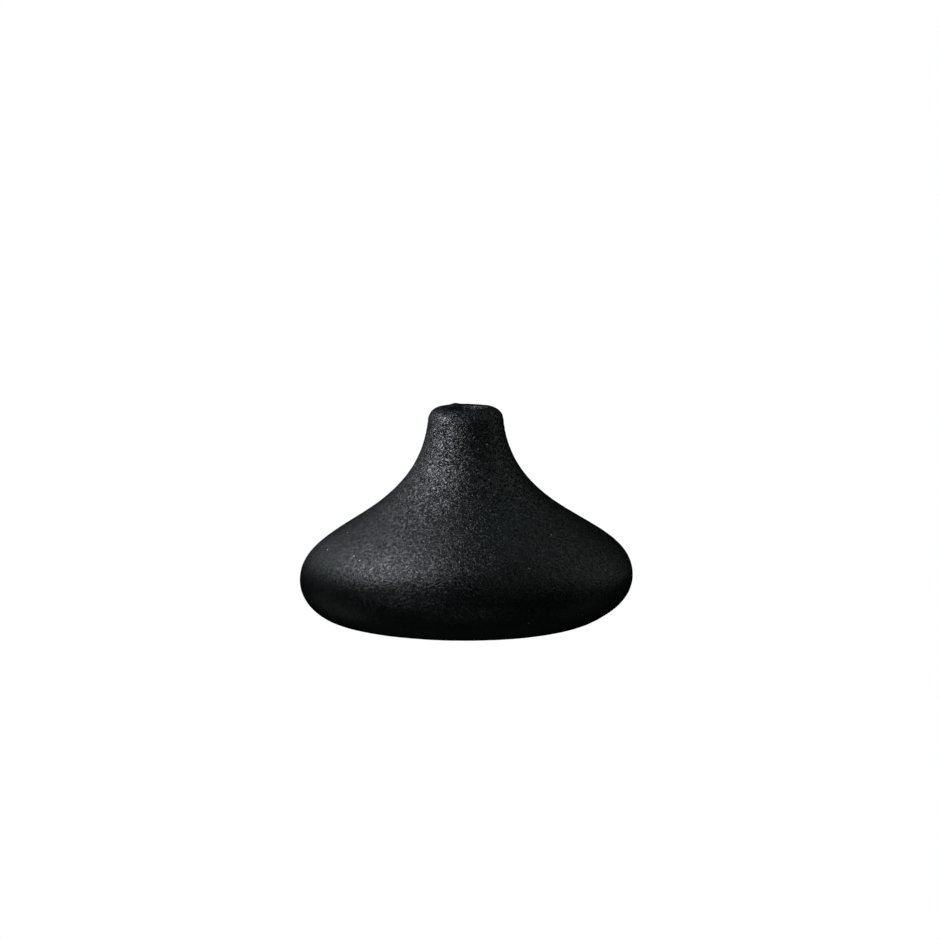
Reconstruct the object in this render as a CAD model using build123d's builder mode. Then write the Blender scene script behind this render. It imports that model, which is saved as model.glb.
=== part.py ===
"""Squat stoneware bud vase: a low, wide belly that draws in to a narrow neck.

The origin is the centre of the foot, on the surface that the vase stands on, with +Z up through
the mouth. Lengths are in millimetres. Every piece is turned about the Z axis.

The clay is two pieces, a body and a neck, joined with slip on a conical seat. A matt glaze coats
the outside from just above the bare foot to the crest of the lip, and a liner glaze coats the
inside from the crest down to the floor.
"""

from build123d import *

import math
import os

# Whole vase
HEIGHT = 81.7
BELLY_RADIUS = 62.5
BELLY_HEIGHT = 17.4
UNDERSIDE_RADIUS = 40.5

# Outside of the shoulder and neck
SHOULDER_HANDLE = 21.1
WAIST_RADIUS = 18.4
WAIST_HEIGHT = 38.9
NECK_RADIUS = 14.1

# Lip and throat
LIP_CREST_RADIUS = 8.7
LIP_DEPTH = 5.2
LIP_INNER_DEPTH = 2.2
THROAT_RADIUS = 7.6
THROAT_BOTTOM = 71.5

# Inside
WALL = 4.4
INNER_SHOULDER_HANDLE = 16.0
INNER_WAIST_RADIUS = 12.5
INNER_WAIST_HEIGHT = 39.5
FLOOR_RADIUS = 36.0
FLOOR_HEIGHT = 7.0

# Foot, turned from the clay and left bare
FOOT_OUTER_RADIUS = 36.0
FOOT_INNER_RADIUS = 30.0
FOOT_HEIGHT = 1.0
FOOT_CHAMFER = 0.4
BASE_RECESS = 1.8
GLAZE_LINE_RADIUS = 38.5

# Coats and joint
GLAZE = 0.4
SLIP = 0.6
SEAT_ANGLE = 40.0
SEAT_APEX = 34.3

INNER_BELLY_RADIUS = BELLY_RADIUS - GLAZE - WALL - GLAZE
LIP_BASE = HEIGHT - LIP_DEPTH
THROAT_TOP = HEIGHT - LIP_INNER_DEPTH
CLEAR = BELLY_RADIUS + 10.0


def outer_wall(inset):
    """Outside of the vase from the glaze line to the crest, moved into the wall by inset."""
    underside = FOOT_HEIGHT + inset
    Line((GLAZE_LINE_RADIUS, underside), (UNDERSIDE_RADIUS, underside))
    EllipticalCenterArc(
        (UNDERSIDE_RADIUS, BELLY_HEIGHT),
        BELLY_RADIUS - UNDERSIDE_RADIUS - inset,
        BELLY_HEIGHT - underside,
        start_angle=-90,
        arc_size=90,
    )
    Bezier(
        (BELLY_RADIUS - inset, BELLY_HEIGHT),
        (BELLY_RADIUS - inset, BELLY_HEIGHT + SHOULDER_HANDLE - inset),
        (WAIST_RADIUS - inset, WAIST_HEIGHT - inset),
        (NECK_RADIUS - inset, LIP_BASE),
    )
    EllipticalCenterArc(
        (LIP_CREST_RADIUS, LIP_BASE),
        NECK_RADIUS - LIP_CREST_RADIUS - inset,
        LIP_DEPTH - inset,
        start_angle=0,
        arc_size=90,
    )


def inner_wall(inset):
    """Inside of the vase from the crest to the middle of the floor, moved into the wall by inset."""
    EllipticalCenterArc(
        (LIP_CREST_RADIUS, THROAT_TOP),
        LIP_CREST_RADIUS - THROAT_RADIUS - inset,
        LIP_INNER_DEPTH - inset,
        start_angle=90,
        arc_size=90,
    )
    Line((THROAT_RADIUS + inset, THROAT_TOP), (THROAT_RADIUS + inset, THROAT_BOTTOM))
    Bezier(
        (THROAT_RADIUS + inset, THROAT_BOTTOM),
        (INNER_WAIST_RADIUS + inset, INNER_WAIST_HEIGHT + inset),
        (INNER_BELLY_RADIUS + inset, BELLY_HEIGHT + INNER_SHOULDER_HANDLE + inset),
        (INNER_BELLY_RADIUS + inset, BELLY_HEIGHT),
    )
    EllipticalCenterArc(
        (FLOOR_RADIUS, BELLY_HEIGHT),
        INNER_BELLY_RADIUS - FLOOR_RADIUS + inset,
        BELLY_HEIGHT - FLOOR_HEIGHT + inset,
        start_angle=-90,
        arc_size=90,
    )
    Line((FLOOR_RADIUS, FLOOR_HEIGHT - inset), (0, FLOOR_HEIGHT - inset))


def seat_height(radius, drop=0.0):
    """Height of the conical joint seat at a radius, lowered square to the cone by drop."""
    angle = math.radians(SEAT_ANGLE)
    return SEAT_APEX + radius * math.tan(angle) - drop / math.cos(angle)


# Half section of all the fired clay, before it is divided at the joint
with BuildSketch(Plane.XZ) as clay_section:
    with BuildLine():
        outer_wall(GLAZE)
        inner_wall(GLAZE)
        Polyline(
            (0, FLOOR_HEIGHT - GLAZE),
            (0, BASE_RECESS),
            (FOOT_INNER_RADIUS, BASE_RECESS),
            (FOOT_INNER_RADIUS, FOOT_CHAMFER),
            (FOOT_INNER_RADIUS + FOOT_CHAMFER, 0),
            (FOOT_OUTER_RADIUS - FOOT_CHAMFER, 0),
            (FOOT_OUTER_RADIUS, FOOT_CHAMFER),
            (FOOT_OUTER_RADIUS, FOOT_HEIGHT + GLAZE),
            (GLAZE_LINE_RADIUS, FOOT_HEIGHT + GLAZE),
        )
    make_face()


# Body: floor, bare foot, belly and shoulder, up to the conical seat
with BuildPart() as stoneware_body:
    with BuildSketch(Plane.XZ):
        add(clay_section.sketch_local)
        with BuildLine():
            Polyline(
                (0, seat_height(0, SLIP)),
                (CLEAR, seat_height(CLEAR, SLIP)),
                (CLEAR, -FOOT_HEIGHT),
                (0, -FOOT_HEIGHT),
                close=True,
            )
        make_face(mode=Mode.INTERSECT)
    revolve(axis=Axis.Z)

# Neck: the upper shoulder, throat and rounded lip, which nests into the seat
with BuildPart() as stoneware_neck:
    with BuildSketch(Plane.XZ):
        add(clay_section.sketch_local)
        with BuildLine():
            Polyline(
                (0, seat_height(0)),
                (CLEAR, seat_height(CLEAR)),
                (CLEAR, seat_height(CLEAR) + HEIGHT),
                (0, seat_height(CLEAR) + HEIGHT),
                close=True,
            )
        make_face(mode=Mode.INTERSECT)
    revolve(axis=Axis.Z)

# Slip: the conical layer of liquid clay that joins the neck to the body
with BuildPart() as luting_slip:
    with BuildSketch(Plane.XZ):
        add(clay_section.sketch_local)
        with BuildLine():
            Polyline(
                (0, seat_height(0)),
                (CLEAR, seat_height(CLEAR)),
                (CLEAR, seat_height(CLEAR, SLIP)),
                (0, seat_height(0, SLIP)),
                close=True,
            )
        make_face(mode=Mode.INTERSECT)
    revolve(axis=Axis.Z)

# Outer glaze: from the glaze line over the belly, shoulder and neck to the crest of the lip
with BuildPart() as outer_glaze:
    with BuildSketch(Plane.XZ):
        with BuildLine():
            outer_wall(0)
            outer_wall(GLAZE)
            Line((LIP_CREST_RADIUS, HEIGHT), (LIP_CREST_RADIUS, HEIGHT - GLAZE))
            Line((GLAZE_LINE_RADIUS, FOOT_HEIGHT), (GLAZE_LINE_RADIUS, FOOT_HEIGHT + GLAZE))
        make_face()
    revolve(axis=Axis.Z)

# Liner glaze: from the crest down the throat and over the inside to the middle of the floor
with BuildPart() as liner_glaze:
    with BuildSketch(Plane.XZ):
        with BuildLine():
            inner_wall(0)
            inner_wall(GLAZE)
            Line((LIP_CREST_RADIUS, HEIGHT), (LIP_CREST_RADIUS, HEIGHT - GLAZE))
            Line((0, FLOOR_HEIGHT), (0, FLOOR_HEIGHT - GLAZE))
        make_face()
    revolve(axis=Axis.Z)


stoneware_body.part.label = "stoneware_body"
stoneware_neck.part.label = "stoneware_neck"
luting_slip.part.label = "luting_slip"
outer_glaze.part.label = "outer_glaze"
liner_glaze.part.label = "liner_glaze"

os.makedirs("parts", exist_ok=True)
export_step(stoneware_body.part, "parts/stoneware_body.step")
export_step(stoneware_neck.part, "parts/stoneware_neck.step")
export_step(luting_slip.part, "parts/luting_slip.step")
export_step(outer_glaze.part, "parts/outer_glaze.step")
export_step(liner_glaze.part, "parts/liner_glaze.step")
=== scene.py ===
"""Looks of the squat stoneware bud vase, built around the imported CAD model.

Every piece is turned about the Z axis from the CAD profile, in metres, and then given what hands
and a kiln leave in a pot: a belly that sits a little off level, an uneven lip with a drop of glaze
on it, faint throwing rings and a pebbled glaze. Each piece stands for one CAD node.
"""

import math

import bpy
import numpy as np
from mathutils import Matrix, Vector, noise


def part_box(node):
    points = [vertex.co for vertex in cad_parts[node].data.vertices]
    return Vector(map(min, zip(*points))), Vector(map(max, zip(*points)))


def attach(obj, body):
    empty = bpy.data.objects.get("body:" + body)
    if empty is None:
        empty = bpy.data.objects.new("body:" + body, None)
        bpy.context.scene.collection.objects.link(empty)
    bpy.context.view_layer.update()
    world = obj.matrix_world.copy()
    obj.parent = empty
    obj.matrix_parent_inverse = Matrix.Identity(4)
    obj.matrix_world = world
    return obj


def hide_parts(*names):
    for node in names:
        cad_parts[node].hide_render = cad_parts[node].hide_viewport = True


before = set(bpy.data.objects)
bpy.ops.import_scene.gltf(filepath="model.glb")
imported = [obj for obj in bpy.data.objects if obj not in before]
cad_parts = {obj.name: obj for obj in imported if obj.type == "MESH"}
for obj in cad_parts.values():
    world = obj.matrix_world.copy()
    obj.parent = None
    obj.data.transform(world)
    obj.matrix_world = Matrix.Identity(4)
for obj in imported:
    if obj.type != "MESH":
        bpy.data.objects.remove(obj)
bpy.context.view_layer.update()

MM = 0.001

# ---------------------------------------------------------------- dimensions

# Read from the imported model
GLAZE_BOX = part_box("outer_glaze")
BODY_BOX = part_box("stoneware_body")
LINER_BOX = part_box("liner_glaze")
HEIGHT = GLAZE_BOX[1].z
BELLY_RADIUS = GLAZE_BOX[1].x
FOOT_HEIGHT = GLAZE_BOX[0].z
GLAZE = GLAZE_BOX[1].x - BODY_BOX[1].x
INNER_BELLY_RADIUS = LINER_BOX[1].x - GLAZE
FLOOR_HEIGHT = LINER_BOX[0].z + GLAZE

# The same driving dimensions as the CAD source
BELLY_HEIGHT = 17.4 * MM
UNDERSIDE_RADIUS = 40.5 * MM
SHOULDER_HANDLE = 21.1 * MM
WAIST_RADIUS = 18.4 * MM
WAIST_HEIGHT = 38.9 * MM
NECK_RADIUS = 14.1 * MM
LIP_CREST_RADIUS = 8.7 * MM
LIP_DEPTH = 5.2 * MM
LIP_INNER_DEPTH = 2.2 * MM
THROAT_RADIUS = 7.6 * MM
THROAT_BOTTOM = 71.5 * MM
INNER_SHOULDER_HANDLE = 16.0 * MM
INNER_WAIST_RADIUS = 12.5 * MM
INNER_WAIST_HEIGHT = 39.5 * MM
FLOOR_RADIUS = 36.0 * MM
FOOT_OUTER_RADIUS = 36.0 * MM
FOOT_INNER_RADIUS = 30.0 * MM
FOOT_CHAMFER = 0.4 * MM
BASE_RECESS = 1.8 * MM
GLAZE_LINE_RADIUS = 38.5 * MM
SLIP = 0.6 * MM
SEAT_ANGLE = math.radians(40.0)
SEAT_APEX = 34.3 * MM

LIP_BASE = HEIGHT - LIP_DEPTH
THROAT_TOP = HEIGHT - LIP_INNER_DEPTH

# Points that an arc and a curve are worked out at, before they are spaced evenly
ARC_POINTS = 80
CURVE_POINTS = 300

# Mesh spacing outside and on the foot, inside, and where another piece covers the surface
SHOWN = 0.68 * MM
INSIDE = 1.0 * MM
HIDDEN = 2.0 * MM

# Fewest columns in a ring, and passes that bring each ring within a factor of two of its neighbours
FEWEST_COLUMNS = 16.0
COLUMN_PASSES = 12

# A point nearer to the Z axis than this is on it
ON_AXIS = 1e-9

# What hands and kiln leave. Each band runs from where an effect starts to where it is full.
# The belly is off level and off centre, less and less up to the top, and the underside tilts back
BELLY_TILT = math.tan(math.radians(1.09))
BELLY_SHIFT = 0.19 * MM
TILT_TOP = 68.0 * MM
TILT_BAND = (0.0, 5 * MM)
UNDERSIDE_SHARE = -0.2
UNDERSIDE_BAND = (FOOT_OUTER_RADIUS, 41 * MM)

# The vase is a trace oval
OVALITY = 0.06 * MM
OVAL_TURN = 0.7
OVAL_BAND = (2 * MM, 12 * MM)

# Throwing rings near the lip, which wander by up to this angle over this distance
RING_PITCH = 2.3 * MM
RING_DEPTH = 0.04 * MM
RING_BAND = (64 * MM, 76 * MM)
RING_WANDER = (2.0, 8 * MM)

# Broad drift and orange peel of the glaze, as how far it rises or sinks and how wide it is
DRIFT = (0.06 * MM, 13 * MM)
PEEL = (0.035 * MM, 2.7 * MM)

# An uneven lip with one drop of glaze on it
LIP_BAND = (77 * MM, 81 * MM)
LIP_HEIGHT = 0.12 * MM
LIP_LUMP = 4.0 * MM
LIP_PLACE = Vector((3.1, 0.4, 0))
DROP_PLACE = (-3.9 * MM, 8.3 * MM)
DROP_RADIUS = 1.5 * MM
DROP_HEIGHT = 0.42 * MM
DROP_BAND = (78 * MM, 80.5 * MM)

# Tears that ran down the inside
TEAR_HEIGHT = 0.05 * MM
TEAR_LENGTH = 40 * MM
TEARS_ROUND = 3

# Turning grooves in the bare base, which start away from its middle, and coarse grog
GROOVE_PITCH = 1.7 * MM
GROOVE_DEPTH = 0.05 * MM
GROOVE_BAND = (2 * MM, 6 * MM)
GROG = (0.05 * MM, 3.0 * MM)

# ---------------------------------------------------------------- profile


def ellipse(centre, across, up, start, end):
    """Points (radius, height) along an elliptical arc, angles in degrees."""
    angle = np.radians(np.linspace(start, end, ARC_POINTS))
    return np.column_stack((centre[0] + across * np.cos(angle), centre[1] + up * np.sin(angle)))


def bezier(*handles):
    """Points along a cubic Bezier curve."""
    t = np.linspace(0, 1, CURVE_POINTS)[:, None]
    a, b, c, d = (np.array(h) for h in handles)
    return (1 - t) ** 3 * a + 3 * t * (1 - t) ** 2 * b + 3 * t * t * (1 - t) * c + t**3 * d


def joined(*lines):
    """One line from several that meet end to end."""
    return np.vstack([lines[0]] + [line[1:] for line in lines[1:]])


def outer_wall(inset):
    """Outside of the vase from the glaze line to the crest, moved into the wall."""
    underside = FOOT_HEIGHT + inset
    return joined(
        np.array([(GLAZE_LINE_RADIUS, underside), (UNDERSIDE_RADIUS, underside)]),
        ellipse(
            (UNDERSIDE_RADIUS, BELLY_HEIGHT),
            BELLY_RADIUS - UNDERSIDE_RADIUS - inset,
            BELLY_HEIGHT - underside,
            -90,
            0,
        ),
        bezier(
            (BELLY_RADIUS - inset, BELLY_HEIGHT),
            (BELLY_RADIUS - inset, BELLY_HEIGHT + SHOULDER_HANDLE - inset),
            (WAIST_RADIUS - inset, WAIST_HEIGHT - inset),
            (NECK_RADIUS - inset, LIP_BASE),
        ),
        ellipse(
            (LIP_CREST_RADIUS, LIP_BASE),
            NECK_RADIUS - LIP_CREST_RADIUS - inset,
            LIP_DEPTH - inset,
            0,
            90,
        ),
    )


def inner_wall(inset):
    """Inside of the vase from the crest to the middle of the floor, moved into the wall."""
    return joined(
        ellipse(
            (LIP_CREST_RADIUS, THROAT_TOP),
            LIP_CREST_RADIUS - THROAT_RADIUS - inset,
            LIP_INNER_DEPTH - inset,
            90,
            180,
        ),
        np.array([(THROAT_RADIUS + inset, THROAT_TOP), (THROAT_RADIUS + inset, THROAT_BOTTOM)]),
        bezier(
            (THROAT_RADIUS + inset, THROAT_BOTTOM),
            (INNER_WAIST_RADIUS + inset, INNER_WAIST_HEIGHT + inset),
            (INNER_BELLY_RADIUS + inset, BELLY_HEIGHT + INNER_SHOULDER_HANDLE + inset),
            (INNER_BELLY_RADIUS + inset, BELLY_HEIGHT),
        ),
        ellipse(
            (FLOOR_RADIUS, BELLY_HEIGHT),
            INNER_BELLY_RADIUS - FLOOR_RADIUS + inset,
            BELLY_HEIGHT - FLOOR_HEIGHT + inset,
            0,
            -90,
        ),
        np.array([(FLOOR_RADIUS, FLOOR_HEIGHT - inset), (0.0, FLOOR_HEIGHT - inset)]),
    )


def above_seat(line, drop):
    """Height of each point over the conical joint seat, lowered square to the cone by drop."""
    seat = SEAT_APEX + line[:, 0] * math.tan(SEAT_ANGLE) - drop / math.cos(SEAT_ANGLE)
    return line[:, 1] - seat


def parted(line, drop, keep_above):
    """The part of a line above or below the seat, ending exactly on it."""
    over = above_seat(line, drop)
    cut = int(np.flatnonzero(np.diff(np.sign(over)))[0])
    share = over[cut] / (over[cut] - over[cut + 1])
    meet = line[cut] + share * (line[cut + 1] - line[cut])
    first, last = line[: cut + 1], line[cut + 1 :]
    if (over[0] > 0) == keep_above:
        return np.vstack((first, meet))
    return np.vstack((meet, last))


# ---------------------------------------------------------------- hand and kiln


def smooth_step(value, low, high):
    """0 below low, 1 above high, smooth between."""
    t = min(1.0, max(0.0, (value - low) / (high - low)))
    return t * t * (3 - 2 * t)


def settle(point):
    """Moves a point as the whole pot is out of true: foot level, belly tilted, neck upright."""
    x, y, z = point
    underside = UNDERSIDE_SHARE * smooth_step(math.hypot(x, y), *UNDERSIDE_BAND)
    rise = smooth_step(z, *TILT_BAND)
    fade = max(0.0, 1 - (z / TILT_TOP) ** 2)
    share = underside + (1 - underside) * rise
    return Vector((x + BELLY_SHIFT * fade * rise, y, z + BELLY_TILT * x * share * fade))


def lumps(point, height, size):
    """Smooth random relief that rises or sinks by up to height, in lumps about size across."""
    return height * noise.noise(point / size)


def glaze_relief(point):
    """Height of the glaze surface over an even coat, in metres."""
    x, y, z = point
    angle = math.atan2(y, x)
    swell = OVALITY * math.cos(2 * angle + OVAL_TURN) * smooth_step(z, *OVAL_BAND)
    drift = lumps(point, *DRIFT)
    peel = lumps(point, *PEEL)
    turn = 2 * math.pi * z / RING_PITCH + angle + lumps(point, *RING_WANDER)
    rings = RING_DEPTH * smooth_step(z, *RING_BAND) * math.sin(turn)
    lip = smooth_step(z, *LIP_BAND)
    uneven = LIP_HEIGHT * lip * noise.noise(point / LIP_LUMP + LIP_PLACE)
    away = math.hypot(x - DROP_PLACE[0], y - DROP_PLACE[1]) / DROP_RADIUS
    drop = DROP_HEIGHT * smooth_step(z, *DROP_BAND) * math.exp(-away * away)
    return swell + drift + peel + rings + uneven + drop


def liner_relief(point):
    """Height of the liner glaze, which was poured in and runs in soft vertical tears."""
    x, y, z = point
    angle = math.atan2(y, x)
    place = (TEARS_ROUND * math.cos(angle), TEARS_ROUND * math.sin(angle), z / TEAR_LENGTH)
    tears = TEAR_HEIGHT * noise.noise(Vector(place))
    lip = smooth_step(z, *LIP_BAND)
    return (1 - lip) * tears + lip * glaze_relief(point)


def turning_marks(point):
    """Height of the bare base, with the grooves of the turning tool and coarse grog."""
    radius = math.hypot(point.x, point.y)
    turn = 2 * math.pi * radius / GROOVE_PITCH + math.atan2(point.y, point.x)
    grooves = GROOVE_DEPTH * smooth_step(radius, *GROOVE_BAND) * math.sin(turn)
    return grooves + lumps(point, *GROG)


# ---------------------------------------------------------------- turned meshes


def spaced(line, step):
    """The same line with points about step apart, ends kept."""
    run = np.concatenate(([0.0], np.cumsum(np.hypot(*np.diff(line, axis=0).T))))
    at = np.linspace(0, run[-1], max(2, round(run[-1] / step) + 1))
    return np.column_stack((np.interp(at, run, line[:, 0]), np.interp(at, run, line[:, 1])))


def outward(line):
    """Unit normals of a profile line, to the right of its direction of travel."""
    along = np.gradient(line, axis=0)
    across = np.column_stack((along[:, 1], -along[:, 0]))
    return across / np.hypot(*across.T)[:, None]


def bridge(first, second):
    """Faces between two rings of vertex numbers. One may be a pole, or have twice the other's."""
    n, m = len(first), len(second)
    if n == m:
        return [(first[j], first[(j + 1) % n], second[(j + 1) % n], second[j]) for j in range(n)]
    if n < m:
        return [face[::-1] for face in bridge(second, first)]
    if m == 1:
        return [(first[j], first[(j + 1) % n], second[0]) for j in range(n)]
    faces = []
    for j in range(m):
        a, b, c = first[2 * j], first[2 * j + 1], first[(2 * j + 2) % n]
        d, e = second[j], second[(j + 1) % m]
        faces += [(a, b, d), (b, e, d), (b, c, e)]
    return faces


def columns(radii, spacings):
    """Columns for each ring: powers of two, where neighbours differ by a factor of two at most."""
    counts = []
    for radius, spacing in zip(radii, spacings):
        wanted = max(FEWEST_COLUMNS, 2 * math.pi * radius / spacing)
        counts.append(1 if radius < ON_AXIS else 2 ** round(math.log2(wanted)))
    for _ in range(COLUMN_PASSES):
        for k, count in enumerate(counts):
            near = [c for c in (counts[k - 1], counts[(k + 1) % len(counts)]) if c > 1]
            if count > 1 and near:
                counts[k] = max(count, max(near) // 2)
    return counts


def whole_profile(stretches):
    """All stretches as one profile of (point, normal, spacing, relief), and which are corners."""
    profile, corners = [], []
    for line, spacing, relief in stretches:
        line = spaced(line, spacing)
        stretch = [(point, normal, spacing, relief) for point, normal in zip(line, outward(line))]
        corners.append(max(0, len(profile) - 1))
        if profile and relief and not profile[-1][3]:
            profile.pop()  # the corner belongs to the face with relief
        elif profile:
            stretch = stretch[1:]
        profile += stretch
    return profile, corners


def turned(name, node, slot, material, *stretches):
    """A closed piece turned from stretches of profile, each (line, spacing, relief or None)."""
    profile, corners = whole_profile(stretches)
    looped = profile[0][0][0] > ON_AXIS
    if looped:
        profile.pop()

    vertices, rings, ring_of = [], [], []
    counts = columns([row[0][0] for row in profile], [row[2] for row in profile])
    for k, (row, count) in enumerate(zip(profile, counts)):
        (radius, height), (out, up), _, relief = row
        rings.append(range(len(vertices), len(vertices) + count))
        ring_of += [k] * count
        for j in range(count):
            angle = 2 * math.pi * j / count
            cos, sin = math.cos(angle), math.sin(angle)
            point = Vector((radius * cos, radius * sin, height))
            if relief:
                point += relief(point) * Vector((out * cos, out * sin, up))
            vertices.append(settle(point))
    faces = []
    following = rings[1:] + rings[:1] if looped else rings[1:]
    for first, second in zip(rings, following):
        faces += bridge(first, second)

    mesh = bpy.data.meshes.new(name)
    mesh.from_pydata(vertices, [], faces)
    mesh.shade_smooth()

    # Edges along a corner of the profile are sharp
    ends = np.empty(len(mesh.edges) * 2, int)
    mesh.edges.foreach_get("vertices", ends)
    pairs = np.array(ring_of)[ends].reshape(-1, 2)
    sharp = (pairs[:, 0] == pairs[:, 1]) & np.isin(pairs[:, 0], corners)
    mesh.attributes.new("sharp_edge", "BOOLEAN", "EDGE").data.foreach_set("value", sharp)

    mesh.materials.append(material)
    piece = bpy.data.objects.new(name, mesh)
    bpy.context.collection.objects.link(piece)
    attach(piece, "root")
    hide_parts(node)


# ---------------------------------------------------------------- materials


class Look:
    """A Principled material and short ways to add nodes to it."""

    def __init__(self, name):
        self.material = bpy.data.materials.new(name)
        self.material.use_nodes = True
        self.nodes = self.material.node_tree.nodes
        self.shader = self.nodes["Principled BSDF"]
        self.place = self.nodes.new("ShaderNodeTexCoord").outputs["Object"]

    def link(self, source, target):
        self.material.node_tree.links.new(source, target)

    def noise(self, size, detail, roughness=0.5, distortion=0.0):
        """A noise pattern whose features are about size metres across."""
        field = self.nodes.new("ShaderNodeTexNoise")
        field.inputs["Scale"].default_value = 1.0 / size
        field.inputs["Detail"].default_value = detail
        field.inputs["Roughness"].default_value = roughness
        field.inputs["Distortion"].default_value = distortion
        self.link(self.place, field.inputs["Vector"])
        return field.outputs["Fac"]

    def remap(self, value, from_low, from_high, to_low, to_high):
        """A number carried from one range to another, and held at its ends."""
        node = self.nodes.new("ShaderNodeMapRange")
        for socket, number in zip(node.inputs[1:5], (from_low, from_high, to_low, to_high)):
            socket.default_value = number
        self.link(value, node.inputs[0])
        return node.outputs[0]

    def by_height(self, low, high, to_low, to_high):
        """A number that changes with the height over the table."""
        split = self.nodes.new("ShaderNodeSeparateXYZ")
        self.link(self.place, split.inputs[0])
        return self.remap(split.outputs["Z"], low, high, to_low, to_high)

    def ramp(self, value, *stops):
        """A colour that goes from one (number, colour) stop to the other."""
        node = self.nodes.new("ShaderNodeValToRGB")
        for element, (position, colour) in zip(node.color_ramp.elements, stops):
            element.position = position
            element.color = (*colour, 1)
        self.link(value, node.inputs["Fac"])
        return node.outputs["Color"]

    def specks(self, ground, spacing, radius, colour):
        """Sparse round specks of one colour over another."""
        cells = self.nodes.new("ShaderNodeTexVoronoi")
        cells.inputs["Scale"].default_value = 1.0 / spacing
        self.link(self.place, cells.inputs["Vector"])
        edge = radius / spacing
        share = self.remap(cells.outputs["Distance"], 0.8 * edge, edge, 1.0, 0.0)
        mix = self.nodes.new("ShaderNodeMix")
        mix.data_type = "RGBA"
        first, second = [socket for socket in mix.inputs if socket.type == "RGBA"]
        second.default_value = (*colour, 1)
        self.link(share, mix.inputs[0])
        self.link(ground, first)
        return next(socket for socket in mix.outputs if socket.type == "RGBA")

    def bump(self, height, distance, strength=1.0):
        """A normal bent as if the surface rose by distance where height goes from 0 to 1."""
        node = self.nodes.new("ShaderNodeBump")
        node.inputs["Strength"].default_value = strength
        node.inputs["Distance"].default_value = distance
        self.link(height, node.inputs["Height"])
        return node.outputs["Normal"]


# Glaze. Its grain is faint below one height, and its relief and shine are full above two others
GRAIN_SIZE = 0.75 * MM
GRAIN_SWIRL = 1.6
FAINT_BELOW = 4 * MM
RELIEF_FULL = 40 * MM
SHINE_FULL = 48 * MM

# Where the grain pattern, from 0 to 1, is a dull gap and where it is a shiny top
DULL_GAP, SHINY_TOP = 0.41, 0.66

# Colour of the glaze and of the few specks in it
CLOUD_SIZE = 11 * MM
DARK_GLAZE, LIGHT_GLAZE = (0.0105, 0.0125, 0.0120), (0.015, 0.018, 0.0175)
SPECK_SPACING = 7 * MM
SPECK_RADIUS = 0.36 * MM
SPECK_COLOUR = (0.45, 0.46, 0.45)

# Clay
SAND_SIZE = 0.35 * MM
SAND_HEIGHT = 0.06 * MM
CLAY_CLOUD_SIZE = 5 * MM
DARK_CLAY, LIGHT_CLAY = (0.055, 0.043, 0.035), (0.105, 0.085, 0.07)


def glaze_look(name, grain_height):
    """Matt black glaze, shiny on the fine grains that stand up from it and dull between them.

    It ran smoother towards the underside, where the grain is faint.
    """
    look = Look(name)
    shader = look.shader
    shader.inputs["IOR"].default_value = 1.6
    shader.inputs["Roughness"].default_value = 0.27

    grain = look.noise(GRAIN_SIZE, detail=0.0, distortion=GRAIN_SWIRL)
    relief = look.bump(grain, grain_height)
    strength = look.by_height(FAINT_BELOW, RELIEF_FULL, 0.5, 1.1)
    look.link(strength, relief.node.inputs["Strength"])
    look.link(relief, shader.inputs["Normal"])

    gloss = look.remap(grain, DULL_GAP, SHINY_TOP, 0.0, 1.0)
    least = look.by_height(FAINT_BELOW, SHINE_FULL, 0.28, 0.0)
    look.link(least, gloss.node.inputs["To Min"])
    most = look.by_height(FAINT_BELOW, SHINE_FULL, 0.62, 1.0)
    look.link(most, gloss.node.inputs["To Max"])
    look.link(gloss, shader.inputs["Specular IOR Level"])

    cloud = look.noise(CLOUD_SIZE, detail=3.0)
    ground = look.ramp(cloud, (0.35, DARK_GLAZE), (0.65, LIGHT_GLAZE))
    colour = look.specks(ground, SPECK_SPACING, SPECK_RADIUS, SPECK_COLOUR)
    look.link(colour, shader.inputs["Base Color"])
    return look.material


def clay_look(name):
    """Bare fired stoneware: dark, dry and sandy."""
    look = Look(name)
    shader = look.shader
    sand = look.noise(SAND_SIZE, detail=3.0, roughness=0.65)
    cloud = look.noise(CLAY_CLOUD_SIZE, detail=3.0)
    look.link(look.bump(sand, SAND_HEIGHT, 0.8), shader.inputs["Normal"])
    colour = look.ramp(cloud, (0.3, DARK_CLAY), (0.7, LIGHT_CLAY))
    look.link(colour, shader.inputs["Base Color"])
    look.link(look.remap(sand, 0.3, 0.7, 0.8, 0.95), shader.inputs["Roughness"])
    return look.material


matt_glaze = glaze_look("matt_black_glaze", grain_height=0.27 * MM)
liner_glaze = glaze_look("dark_liner_glaze", grain_height=0.34 * MM)
fired_clay = clay_look("fired_clay")
fired_slip = clay_look("fired_slip")

# ---------------------------------------------------------------- pieces

outer_face, outer_back = outer_wall(0), outer_wall(GLAZE)
inner_face, inner_back = inner_wall(0), inner_wall(GLAZE)

# The clay's outside and inside, above the slip and below it
neck_outside, neck_inside = parted(outer_back, 0, True), parted(inner_back, 0, True)
body_outside, body_inside = parted(outer_back, SLIP, False), parted(inner_back, SLIP, False)

# The bare foot, from the middle of the base out to the glaze
foot = (
    (0, BASE_RECESS),
    (FOOT_INNER_RADIUS, BASE_RECESS),
    (FOOT_INNER_RADIUS, FOOT_CHAMFER),
    (FOOT_INNER_RADIUS + FOOT_CHAMFER, 0),
    (FOOT_OUTER_RADIUS - FOOT_CHAMFER, 0),
    (FOOT_OUTER_RADIUS, FOOT_CHAMFER),
    (FOOT_OUTER_RADIUS, FOOT_HEIGHT + GLAZE),
    outer_back[0],
)


def straight(spacing, *corners):
    """Stretches without relief that run straight from each corner to the next."""
    return [(np.array(ends), spacing, None) for ends in zip(corners, corners[1:])]


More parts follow.
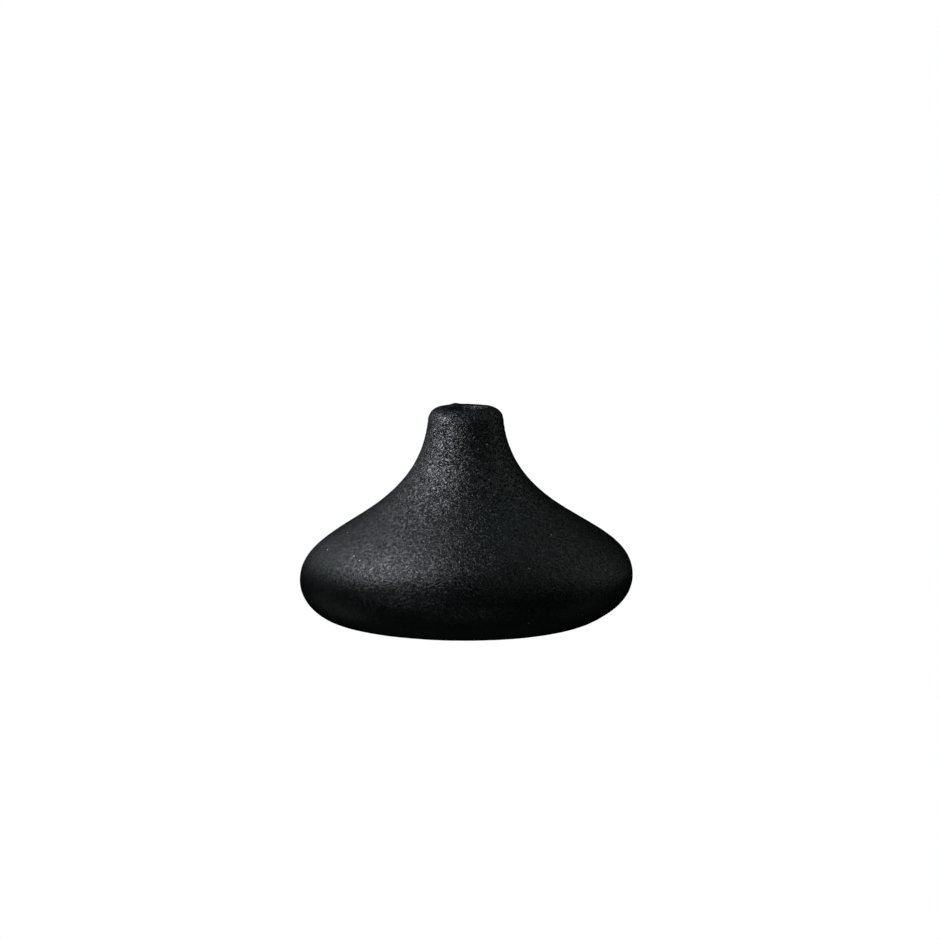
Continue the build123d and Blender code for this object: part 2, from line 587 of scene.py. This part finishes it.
turned(
    "glazed_outside", "outer_glaze", "matt_black_glaze", matt_glaze,
    (outer_face, SHOWN, glaze_relief),
    *straight(SHOWN, outer_face[-1], outer_back[-1]),
    (outer_back[::-1], HIDDEN, None),
    *straight(HIDDEN, outer_back[0], outer_face[0]),
)
turned(
    "glazed_inside", "liner_glaze", "dark_liner_glaze", liner_glaze,
    (inner_back[::-1], HIDDEN, None),
    *straight(SHOWN, inner_back[0], inner_face[0]),
    (inner_face, INSIDE, liner_relief),
)
turned(
    "clay_neck", "stoneware_neck", "fired_clay", fired_clay,
    (neck_outside, HIDDEN, None),
    (neck_inside, HIDDEN, None),
    *straight(HIDDEN, neck_inside[-1], neck_outside[0]),
)
turned(
    "slip_joint", "luting_slip", "fired_slip", fired_slip,
    *straight(HIDDEN, body_outside[-1], neck_outside[0], neck_inside[-1], body_inside[0]),
    *straight(HIDDEN, body_inside[0], body_outside[-1]),
)
turned(
    "clay_body", "stoneware_body", "fired_clay", fired_clay,
    (np.array(foot[:2]), SHOWN, turning_marks),
    *straight(SHOWN, *foot[1:]),
    (body_outside, HIDDEN, None),
    *straight(HIDDEN, body_outside[-1], body_inside[0]),
    (body_inside, HIDDEN, None),
)

# ---------------------------------------------------------------- camera, floor and light

CAMERA_DISTANCE = 1.618
CAMERA_ELEVATION = math.radians(9.3)
CAMERA_LENS = 165.2
VIEW_POINT = Vector((0.0, 0.0, 38.9 * MM))

# The camera looks this far right of and above the view point
VIEW_OFFSET = (1.57 * MM, 18.65 * MM)

# The floor reaches this far each way, past the edges of every view
FLOOR_REACH = 40
COOL, NEUTRAL = (0.97, 1.0, 1.08), (0.85, 1.0, 0.95)

camera_data = bpy.data.cameras.new("camera")
camera_data.lens = CAMERA_LENS
camera_data.sensor_width = 36.0
camera = bpy.data.objects.new("camera", camera_data)
bpy.context.collection.objects.link(camera)
bpy.context.scene.camera = camera
towards_camera = Vector((0.0, -math.cos(CAMERA_ELEVATION), math.sin(CAMERA_ELEVATION)))
camera.location = VIEW_POINT + towards_camera * CAMERA_DISTANCE
centred = (-towards_camera).to_track_quat("-Z", "Y")
aim = VIEW_POINT + centred @ Vector((*VIEW_OFFSET, 0.0))
camera.rotation_mode = "QUATERNION"
camera.rotation_quaternion = (aim - camera.location).to_track_quat("-Z", "Y")

bpy.context.scene.view_settings.view_transform = "Standard"

floor_mesh = bpy.data.meshes.new("floor")
floor_corners = [
    (-FLOOR_REACH, -FLOOR_REACH, 0),
    (FLOOR_REACH, -FLOOR_REACH, 0),
    (FLOOR_REACH, FLOOR_REACH, 0),
    (-FLOOR_REACH, FLOOR_REACH, 0),
]
floor_mesh.from_pydata(floor_corners, [], [(0, 1, 2, 3)])
floor = bpy.data.objects.new("floor", floor_mesh)
bpy.context.collection.objects.link(floor)

# The floor is plain white whatever the lamps do
floor_look = Look("floor")
floor_look.shader.inputs["Base Color"].default_value = (0, 0, 0, 1)
floor_look.shader.inputs["Roughness"].default_value = 1.0
floor_look.shader.inputs["Specular IOR Level"].default_value = 0.0
floor_look.shader.inputs["Emission Color"].default_value = (1, 1, 1, 1)
floor_look.shader.inputs["Emission Strength"].default_value = 1.0
floor_mesh.materials.append(floor_look.material)
floor.visible_diffuse = False
floor.visible_glossy = False
floor.visible_shadow = False

world = bpy.data.worlds.new("studio")
bpy.context.scene.world = world
world.use_nodes = True
sky = world.node_tree.nodes["Background"]
sky.inputs["Color"].default_value = (1, 1, 1, 1)
sky.inputs["Strength"].default_value = 1.0
world.cycles_visibility.diffuse = False
world.cycles_visibility.glossy = False


def softbox(name, azimuth, elevation, distance, size, power, colour):
    """A square softbox that faces the vase. Azimuth 0 is the camera's side, 90 the right.

    Angles are in degrees, distance and size in metres, and power in watts.
    """
    data = bpy.data.lights.new(name, "AREA")
    data.size = size
    data.energy = power
    data.color = colour
    lamp = bpy.data.objects.new(name, data)
    bpy.context.collection.objects.link(lamp)
    turn, rise = math.radians(azimuth), math.radians(elevation)
    level = math.cos(rise)
    away = Vector((math.sin(turn) * level, -math.cos(turn) * level, math.sin(rise)))
    lamp.location = VIEW_POINT + away * distance
    lamp.rotation_mode = "QUATERNION"
    lamp.rotation_quaternion = (-away).to_track_quat("-Z", "Y")
    lamp.visible_camera = False


# The key is two small boxes close in on the left, so that it falls off from the neck to the belly
softbox("key_high", -50, 47, 0.09, 0.05, 0.024, COOL)
softbox("key_side", -78, 38, 0.13, 0.06, 0.054, COOL)
softbox("left_rear", -135, 25, 0.35, 0.2, 0.065, COOL)
softbox("right_rear", 105, 20, 0.28, 0.24, 0.041, NEUTRAL)
softbox("rear", 140, 50, 0.30, 0.2, 0.026, NEUTRAL)
softbox("front_right", 48, 45, 1.0, 1.0, 0.45, NEUTRAL)
softbox("front_low", -42, 7, 1.0, 0.5, 0.55, COOL)
# Light that a dull table would send back up
softbox("bounce", 0, -89, 1.0, 2.0, 0.22, NEUTRAL)
softbox("bounce_front", 0, -35, 1.0, 0.6, 0.19, NEUTRAL)
softbox("bounce_left", -110, -30, 1.0, 0.6, 0.15, NEUTRAL)
softbox("bounce_right", 100, -30, 1.0, 0.6, 0.07, NEUTRAL)
